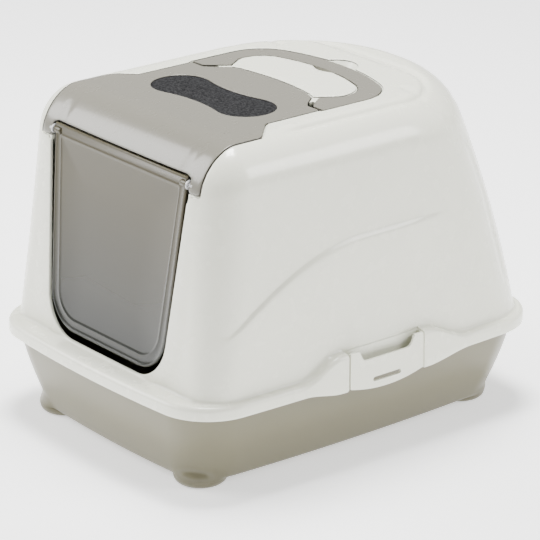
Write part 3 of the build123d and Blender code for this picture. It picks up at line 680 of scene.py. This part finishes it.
# Flip lid, filter window, carry handle and the open corners behind the lid's legs, from above
lidForm = {"rear": [(0.0, 14.5), (20.0, 13.9), (40.0, 11.9), (58.0, 9.0), (70.0, 4.0), (75.0, -2.0),
                    (84.0, -13.0), (91.0, -18.0)],
           "halfX": 109.5, "rearStep": -18.0, "flareRear": -90.0, "flareRound": 8.0, "frontHalfX": 137.5,
           "flareFront": -117.0, "frontY": -250.0, "legBottom": 322.5, "legInner": 121.0, "lipZ": 339.6,
           "lipHalfX": 114.0, "lipDrop": 2.6, "lipRearY": -100.0, "seam": 2.2, "cornerRound": 0.6,
           "stepRound": 1.5, "arcSteps": 5, "topMargin": 30.0}
filterForm = {"y": -73.5, "lobe": 33.0, "lobeX": 53.5, "waist": 25.5, "turn": 2.0, "hollowSteps": 12,
              "lobeSteps": 36}
handleForm = {"halfX": 112.0, "rearY": 104.0, "corner": 50.0, "rearRadius": 228.0, "innerHalfX": 89.0,
              "innerRearY": 81.0, "innerCorner": 35.0, "innerRearRadius": 205.0, "frontY": -13.9,
              "shoulder": [(89.0, 31.0), (76.0, 10.5), (91.5, -10.2), (95.5, -13.9)], "gap": 2.4,
              "dishY": 97.0, "dishRadius": 24.5, "dishFromZ": 360.0}
cornerGap = {"x": (72.5, 114.2), "y": (-18.0, 8.5), "fromZ": 355.0}


def lidOutline():
    # The lid from above: its rear points, its straight sides and the flare, mirrored and rounded
    form = lidForm
    side = [(form["halfX"], form["rearStep"]), (form["halfX"], form["flareRear"]),
            (form["frontHalfX"], form["flareFront"]), (form["frontHalfX"], form["frontY"])]
    corners = np.array(form["rear"][1:] + side, float)
    small, flare = form["cornerRound"], form["flareRound"]
    radii = [small] * (len(form["rear"]) - 1) + [form["stepRound"], flare, flare, small]
    points = np.vstack([form["rear"][:1], corners, (corners * [-1, 1])[::-1]])
    return roundCorners(points, [small] + radii + radii[::-1], form["arcSteps"])


def filterOutline():
    # A peanut: two round lobes joined by hollow arcs of radius R, where
    # R = (lobe centre^2 + waist^2 - lobe^2) / (2 (lobe - waist)), turned a little
    lobe, waist, lobeX = filterForm["lobe"], filterForm["waist"], filterForm["lobeX"]
    hollow = (lobeX**2 + waist**2 - lobe**2) / (2 * (lobe - waist))
    touch = np.arctan2(lobeX, waist + hollow)
    inner = np.linspace(touch, 0, filterForm["hollowSteps"])[:-1]
    outer = np.linspace(quarterTurn + touch, -quarterTurn - touch, filterForm["lobeSteps"])
    rightLobe = np.column_stack([lobeX + lobe * np.cos(outer), lobe * np.sin(outer)])
    saddle = np.column_stack([hollow * np.sin(inner), waist + hollow - hollow * np.cos(inner)])[1:]
    half = np.vstack([saddle[::-1], rightLobe, saddle * [1, -1]])
    points = np.vstack([half, half * [-1, -1]])
    turn = np.radians(filterForm["turn"])
    turned = points @ np.array([[np.cos(turn), np.sin(turn)], [-np.sin(turn), np.cos(turn)]])
    return turned + [0, filterForm["y"]]


def uCorner(halfX, rearY, corner, rearRadius, steps=10):
    # From a U's straight side round its corner and along its bowed rear to the middle: two tangent arcs,
    # each its centre plus its radius times (cos, sin)
    across = halfX - corner
    middle = np.array([across, rearY - rearRadius + np.sqrt((rearRadius - corner)**2 - across**2)])
    turn = np.arctan2(middle[1] - rearY + rearRadius, across)
    first, second = np.linspace(0, turn, steps)[:, None], np.linspace(turn, quarterTurn, steps)[1:, None]
    arc = middle + corner * np.hstack([np.cos(first), np.sin(first)])
    rear = [0, rearY - rearRadius] + rearRadius * np.hstack([np.cos(second), np.sin(second)])
    return np.vstack([arc, rear])


def handleOutline():
    # The handle from above: its inner and outer U joined at the front ends, and mirrored
    form = handleForm
    outer = uCorner(form["halfX"], form["rearY"], form["corner"], form["rearRadius"])
    inner = uCorner(form["innerHalfX"], form["innerRearY"], form["innerCorner"], form["innerRearRadius"])
    inside = np.vstack([inner[::-1], form["shoulder"], [(form["halfX"], form["frontY"])], outer[:-1]])
    return np.vstack([inside, [(0, form["rearY"])], (inside * [-1, 1])[::-1]])


def boxDistance(x, y, spanX, spanY):
    # The greatest of the distances past a box's four sides from above, below zero inside
    return np.maximum(np.maximum(spanX[0] - x, x - spanX[1]), np.maximum(spanY[0] - y, y - spanY[1]))


def fieldWithin(where, across, upward, outline, grow=0.0):
    # Distance outside an outline that is grown by a margin, at the chosen points: below zero within it,
    # and far out at every other point
    field = np.full(where.shape, farOut)
    field[where] = outlineDistance(across[where], upward[where], outline) - grow
    return field


# Surface of the hood and lid: one form, with the moulded line, the frame and the creases worked into it
creaseForm = {"halfX": 139.0, "rearY": 147.0, "corner": 76.0, "depth": 3.2, "width": 3.8,
              "frontY": -100.0, "frontRun": 40.0, "lowZ": 338.0, "rise": 16.0, "openY": -400.0,
              "openCorner": 1.0, "arcSteps": 12}
rearCrease = {"z": [142.0, 200.0, 254.0, 307.0, 361.0], "y": [200.0, 186.0, 177.0, 157.0, 103.0],
              "depth": 1.5, "width": 3.4, "startZ": 128.0, "run": 40.0, "leastX": 100.0}
visorForm = {"bandX": 108.5, "depth": 1.3, "width": 3.2, "fadeY": -178.0, "fadeRun": 45.0}


def frontField(x, y, z, outline, lowest):
    # The distance field of an outline on the doorway's leaning frame, for the front of the box alone.
    # Height is measured up the frame, (z - sill) * sqrt(1 + lean^2).
    form = doorwayForm
    front = (y < form["frameY"] + form["reachY"]) & (z > lowest)
    return fieldWithin(front, x, (z - form["sill"]) * np.sqrt(1 + form["lean"]**2), outline)


def topField(x, y, z, outline, grow):
    # The distance field of an outline cut through the top, from above
    return fieldWithin(z > lidForm["legBottom"] - lidForm["topMargin"], x, y, outline, grow)


def bell(away, width):
    # A soft ridge: e to the minus square of distance over width
    return np.exp(-(away / width)**2)


def workedSurface(points):
    # The hood's grid with its relief: the frame is brought forward to its leaning plane, and the moulded
    # line and creases shift the surface along its normal
    x, y, z = points[..., 0], points[..., 1], points[..., 2]
    form = doorwayForm
    outline = doorwayOutline(form["frameHalfX"], form["frameFlare"], form["frameLow"], form["frameHeight"],
                             form["frameCorner"])
    inFrame = frontField(x, y, z, outline, rimForm["top"] - form["rimMargin"])
    plane = form["frameY"] + form["lean"] * (z - form["sill"])
    onFrame = smooth(0.5 - inFrame / form["frameBlend"])  # halfway at the outline
    points = points.copy()
    points[..., 1] += np.minimum(plane - y, 0) * onFrame
    normals = gridNormals(points)
    line = sweepLine
    side = smooth((np.abs(normals[..., 0]) - line["sideFrom"]) / line["sideRun"])
    below = sweepHeight(y) - z
    window = smooth((y - line["frontY"]) / line["frontRun"]) * smooth((line["rearY"] - y) / line["rearRun"])
    lift = line["proud"] * smooth(below / line["step"]) * (1 - smooth(below / line["fade"])) * window * side
    crease = creaseForm
    halfX, openCorner, rearCorner = crease["halfX"], crease["openCorner"], crease["corner"]
    corners = np.array([(-halfX, crease["openY"]), (halfX, crease["openY"]), (halfX, crease["rearY"]),
                        (-halfX, crease["rearY"])])
    radii = (openCorner, openCorner, rearCorner, rearCorner)
    ring = outlineDistance(x, y, roundCorners(corners, radii, crease["arcSteps"]))
    lift -= (crease["depth"] * bell(ring, crease["width"]) * smooth((z - crease["lowZ"]) / crease["rise"])
             * smooth((y - crease["frontY"]) / crease["frontRun"]))
    rear = rearCrease
    away = y - np.interp(z, rear["z"], rear["y"])
    lift -= (rear["depth"] * bell(away, rear["width"]) * smooth((z - rear["startZ"]) / rear["run"])
             * (np.abs(x) > rear["leastX"]))
    return points + normals * lift[..., None]


hoodLook = {"shellDepth": 1.6, "coreDepth": 1.4, "edgeRound": 0.9, "proudEdge": 0.1, "shadeAbove": 322.0,
            "sharpAngle": 40.0}
lidLook = {"shellDepth": 1.3, "coreDepth": 1.15, "edgeRound": 0.8, "proudEdge": 0.1, "shadeAbove": 318.0,
           "sharpAngle": 40.0}
clipGap = {"halfLength": 53.2, "centreY": 7.0, "fromX": 100.0}
hoodSurface = workedSurface(hoodGrid())


def makeHood(surface):
    # The shell stays where the least of six distances is above zero: from the lid's opening, the handle's
    # groove, the finger dish, the corner gaps, the doorway and the clips' gaps
    x, y, z = surface[..., 0], surface[..., 1], surface[..., 2]
    opening = np.maximum(topField(x, y, z, lidOutline(), lidForm["seam"]),
                         lidForm["legBottom"] - lidForm["seam"] - z)
    groove = topField(x, y, z, handleOutline(), handleForm["gap"])
    toDish = np.hypot(x, y - handleForm["dishY"]) - handleForm["dishRadius"]
    dish = np.where(z > handleForm["dishFromZ"], toDish, farOut)
    toCorner = boxDistance(np.abs(x), y, cornerGap["x"], cornerGap["y"])
    corner = np.where(z > cornerGap["fromZ"], toCorner, farOut)
    way = doorwayForm
    outline = doorwayOutline(way["halfX"], way["flare"], 0.0, way["height"], way["corner"])
    doorway = frontField(x, y, z, outline, way["sill"] - way["reachBelow"])
    gap = np.full(x.shape, farOut)
    toClip = np.abs(y[:rimRows] - clipGap["centreY"]) - clipGap["halfLength"]
    gap[:rimRows] = np.where(np.abs(x[:rimRows]) > clipGap["fromX"], toClip, farOut)
    keep = np.minimum.reduce([opening, groove, dish, corner, doorway, gap])
    shell = makeSkin("hoodShell", surface, keep, hoodLook, materials["hoodWhite"], "hood")
    core = coreBelow("hoodCore", "hood", surface, hoodLook["coreDepth"], materials["hoodWhite"], "hood")
    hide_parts("hood")


def makeLid(surface):
    # The hood's surface with a groove down each side of the visor, kept inside the lid's outline, above
    # its lip and legs, and outside the filter's window
    x, y, z = surface[..., 0], surface[..., 1], surface[..., 2]
    form, visor = lidForm, visorForm
    lift = (-visor["depth"] * bell(np.abs(x) - visor["bandX"], visor["width"])
            * (1 - smooth((y - visor["fadeY"]) / visor["fadeRun"])))
    surface = surface + gridNormals(surface) * lift[..., None]
    inside = -topField(x, y, z, lidOutline(), 0.0)
    slant = np.clip((np.abs(x) - form["lipHalfX"]) / (form["legInner"] - form["lipHalfX"]), 0, 1)
    lip = np.maximum(z - form["lipZ"] + form["lipDrop"] * slant, np.abs(x) - form["legInner"])
    lip = np.where(y < form["lipRearY"], lip, farOut)
    window = topField(x, y, z, filterOutline(), 0.0)
    keep = np.minimum.reduce([inside, lip, window, z - form["legBottom"]])
    shell = makeSkin("lidShell", surface, keep, lidLook, materials["lidTaupe"], "lid")
    core = coreBelow("lidCore", "flip_lid", surface, lidLook["coreDepth"], materials["lidTaupe"], "lid")
    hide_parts("flip_lid")


makeHood(hoodSurface)
print("hood ready")
makeLid(hoodSurface)
print("lid ready")


# Tray: the outline swells from the floor to the flange, and is pushed out into a round lobe at each foot
trayForm = {"floor": 7.5, "wall": 2.6, "lowX": 158.0, "lowY": 217.0, "lowCorner": 53.0, "spreadX": 24.0,
            "spreadY": 21.0, "spreadCorner": 3.0, "bow": 8.0, "top": 105.0, "power": 1.5, "fullSwell": 1.06,
            "flangeLow": 99.5, "flangeInset": 4.8, "flangeEdge": 0.8, "base": 5.0, "baseRise": 0.6,
            "baseSteps": 6, "baseShrinks": (0.0, 0.5, 0.9), "wallRows": 40, "mouthEdge": 0.6,
            "insideStart": 4.0, "insideRows": 14, "insideCorner": ((1.5, 1.2), (5.0, 0.0)),
            "insideShrinks": (0.6, 0.0), "sharpAngle": 50.0}
footForm = {"x": 122.0, "frontY": -188.0, "rearY": 178.0, "radius": 29.6, "taperFrom": 9.0, "taperRun": 30.0,
            "taper": 0.42, "softness": 2.2, "outsideFrom": 0.4, "outsideRun": 14.0, "reachAbove": 8.0,
            "profile": [(0.0, 0.0), (23.0, 0.0), (25.6, 0.7), (27.6, 2.4), (28.9, 5.0), (29.5, 8.0),
                        (28.0, 10.5), (20.0, 11.5), (0.0, 11.5)],
            "around": 48, "sharpAngle": 60.0}


def trayLoop(z, inset):
    # The tray's outline at height z: its spread is full * (1 - (1 - t)^power), t up the wall
    form = trayForm
    share = np.clip((z - form["floor"]) / (form["top"] - form["floor"]), 0, 1)
    swell = form["fullSwell"] * (1 - (1 - share)**form["power"])
    halfX = form["lowX"] + form["spreadX"] * swell - inset
    halfY = form["lowY"] + form["spreadY"] * swell - inset
    corner = form["lowCorner"] + form["spreadCorner"] * swell - inset
    return levelLoop(halfX, -halfY, halfY, corner, corner, form["bow"], form["bow"])


def footLobes(x, y, z):
    # Pushes the wall out round each foot: the distance from the foot's middle becomes a soft maximum,
    # log(exp(a/s) + exp(b/s)) * s, of itself and the foot's radius, which shrinks up the wall
    form = footForm
    radius = form["radius"] * (1 - form["taper"] * smooth((z - form["taperFrom"]) / form["taperRun"]))
    footX = np.where(x > 0, form["x"], -form["x"])
    footY = np.where(y > 0, form["rearY"], form["frontY"])
    awayX, awayY = x - footX, y - footY
    away = np.maximum(np.hypot(awayX, awayY), tiny)
    outside = smooth((awayX * np.sign(x) + awayY * np.sign(y)) / form["outsideRun"] - form["outsideFrom"])
    pushed = np.logaddexp(away / form["softness"], radius / form["softness"]) * form["softness"]
    below = z < form["taperFrom"] + form["taperRun"] + form["reachAbove"]
    scale = 1 + (pushed / away - 1) * outside * below
    return footX + awayX * scale, footY + awayY * scale


def makeTray():
    # Rows from the middle of the underside, round the base and up the wall, over the flange, then down the
    # inside to its middle. The feet's pads are a profile turned round each foot's middle.
    form = trayForm
    floor, top, wall, inner = form["floor"], form["top"], form["wall"], form["floor"] + form["wall"]
    baseX, baseY = trayLoop(floor, 0)
    rows = [(baseX * shrink, baseY * shrink, floor) for shrink in form["baseShrinks"]]
    lobesFrom = len(rows)
    for angle in np.linspace(0, quarterTurn, form["baseSteps"])[:-1]:
        x, y = trayLoop(floor, form["base"] * (1 - np.sin(angle)))
        rows.append((x, y, floor + form["base"] * (1 - np.cos(angle)) * form["baseRise"]))
    low = floor + form["base"] * form["baseRise"]
    rows += [(*trayLoop(z, 0), z) for z in np.linspace(low, form["flangeLow"], form["wallRows"])]
    lobesTo = len(rows)
    outerX, outerY = rimLoop(form["flangeInset"])
    rows += [(outerX, outerY, form["flangeLow"]), (outerX, outerY, top - form["flangeEdge"])]
    rows.append((*rimLoop(form["flangeInset"] + form["flangeEdge"]), top))
    down = [(top, wall - form["mouthEdge"]), (top - form["mouthEdge"], wall)]
    upper, lower = top - form["insideStart"], inner + form["insideStart"]
    down += [(z, wall) for z in np.linspace(upper, lower, form["insideRows"])]
    down += [(inner + rise, wall + inset) for inset, rise in form["insideCorner"]]
    rows += [(*trayLoop(z, inset), z) for z, inset in down]
    lastX, lastY = rows[-1][:2]
    rows += [(lastX * shrink, lastY * shrink, inner) for shrink in form["insideShrinks"]]
    grid = []
    for place, (x, y, z) in enumerate(rows):
        z = np.full_like(x, z)
        if lobesFrom <= place < lobesTo:
            x, y = footLobes(x, y, z)
        grid.append(np.stack([x, y, z], axis=-1))
    tray = newPiece("trayShell", *closedGrid(np.array(grid)), materials["trayTaupe"], "tray",
                    form["sharpAngle"])
    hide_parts("tray")
    foot, profile = footForm, np.array(footForm["profile"])
    angles = np.linspace(0, 2 * np.pi, foot["around"], endpoint=False)
    radius, height = profile[:, :1], np.repeat(profile[:, 1:], len(angles), axis=1)
    padX, padY = radius * np.cos(angles), radius * np.sin(angles)
    pads = [closedGrid(np.stack([padX + foot["x"] * side, padY + footY, height], axis=-1))
            for side in (-1, 1) for footY in (foot["frontY"], foot["rearY"])]
    feet = newPiece("trayFeet", *joinParts(pads), materials["trayTaupe"], "tray", foot["sharpAngle"])


# Swing door: doorway outlines drawn in step by step, each at its own height off the door's front face
doorForm = {"gap": 3.0, "sillGap": 8.0, "setBack": 2.5, "height": 229.0, "upperCorner": 4.0,
            "leastCorner": 3.0, "arcSteps": 16,
            "profile": [(40.0, -2.4), (2.0, -3.0), (0.6, -2.7), (0.0, -2.0), (0.0, -0.8), (0.3, 0.2),
                        (1.0, 0.8), (2.0, 1.0), (3.0, 0.7), (3.8, 0.1), (10.4, 0.0), (11.2, 0.2),
                        (12.2, 0.35), (13.2, 0.2), (14.4, -0.3), (16.4, -0.6), (60.0, -0.6)],
            "bossInner": 105.6, "bossOuter": 116.6, "bossRadius": 4.2, "bossAround": 24,
            "bossEdge": [(0.0, 0.8), (0.3, 0.2), (0.9, 0.0)], "axisY": -195.938, "axisZ": 329.082,
            "notchX": 104.6, "notchLow": 211.5, "notchRun": 11.0, "sharpAngle": 50.0}


def makeDoor():
    # Each row is the doorway's outline drawn in by an inset, off the frame's plane by a height, and it
    # draws back beside the pivots. A boss on the axis, a profile turned round it, ends each upper corner.
    form, way = doorForm, doorwayForm
    lean = np.sqrt(1 + way["lean"]**2)
    facing, upward = np.array([0, -1, way["lean"]]) / lean, np.array([0, way["lean"], 1]) / lean
    origin = np.array([0, way["frameY"], way["sill"]])
    rows = []
    for inset, off in form["profile"]:
        half = way["halfX"] - form["gap"] - inset
        corner = max(way["corner"] - form["gap"] - inset, form["leastCorner"])
        outline = doorwayOutline(half, way["flare"], form["sillGap"] + inset, form["height"] - inset, corner,
                                 form["upperCorner"], form["arcSteps"])
        notch = (outline[:, 1] > form["notchLow"]) & (np.abs(outline[:, 0]) > form["notchX"])
        drawnIn = max(form["notchX"] + form["notchRun"] - inset, form["notchX"])
        outline[notch, 0] = np.sign(outline[notch, 0]) * drawnIn
        rows.append(origin + outline[:, :1] * [1, 0, 0] + outline[:, 1:] * upward
                    + facing * (off - form["setBack"]))
    middle = (form["sillGap"] + form["height"]) / 2
    ends = [origin + upward * middle + facing * (form["profile"][end][1] - form["setBack"])
            for end in (0, -1)]
    rows = [np.tile(ends[0], (len(rows[0]), 1)), *rows, np.tile(ends[1], (len(rows[0]), 1))]
    parts = [closedGrid(np.array(rows))]
    inner, outer, radius, edge = form["bossInner"], form["bossOuter"], form["bossRadius"], form["bossEdge"]
    profile = np.array([(inner, 0)] + [(inner + along, radius - down) for along, down in edge]
                       + [(outer - along, radius - down) for along, down in edge[::-1]] + [(outer, 0)])
    angles = np.linspace(0, 2 * np.pi, form["bossAround"], endpoint=False)
    for side in (-1, 1):
        parts.append(closedGrid(np.stack([np.repeat(profile[:, :1], len(angles), axis=1) * side,
                                          form["axisY"] + profile[:, 1:] * np.cos(angles) * side,
                                          form["axisZ"] + profile[:, 1:] * np.sin(angles)], axis=-1)))
    door = newPiece("doorPanel", *joinParts(parts), materials["smokyDoor"], "door", form["sharpAngle"])
    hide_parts("swing_door")


# Rounded edges on the small moulded parts, which keep their solids' shapes
edgeRounds = {"carry_handle": 1.3, "side_clip_left": 0.7, "side_clip_right": 0.7, "filter_holder": 0.3,
              "door_pivot_left": 0.7, "door_pivot_right": 0.7, "carbon_filter": 0.3}
edgeFinish = {"segments": 3, "angle": 40.0}


def roundEdges():
    # Welds each part's loose triangles and rounds the edges that turn by more than the angle
    for name, width in edgeRounds.items():
        node = nodes[name]
        weld = node.modifiers.new("weld", "WELD")
        weld.merge_threshold = weldDistance
        bevel = node.modifiers.new("bevel", "BEVEL")
        bevel.width, bevel.segments, bevel.limit_method = width * mm, edgeFinish["segments"], "ANGLE"
        bevel.angle_limit = np.radians(edgeFinish["angle"])
        node.modifiers.new("weightedNormal", "WEIGHTED_NORMAL").keep_sharp = False
        node.data.shade_smooth()


makeTray()
print("tray ready")
makeDoor()
print("door ready")
roundEdges()
print("edges ready")
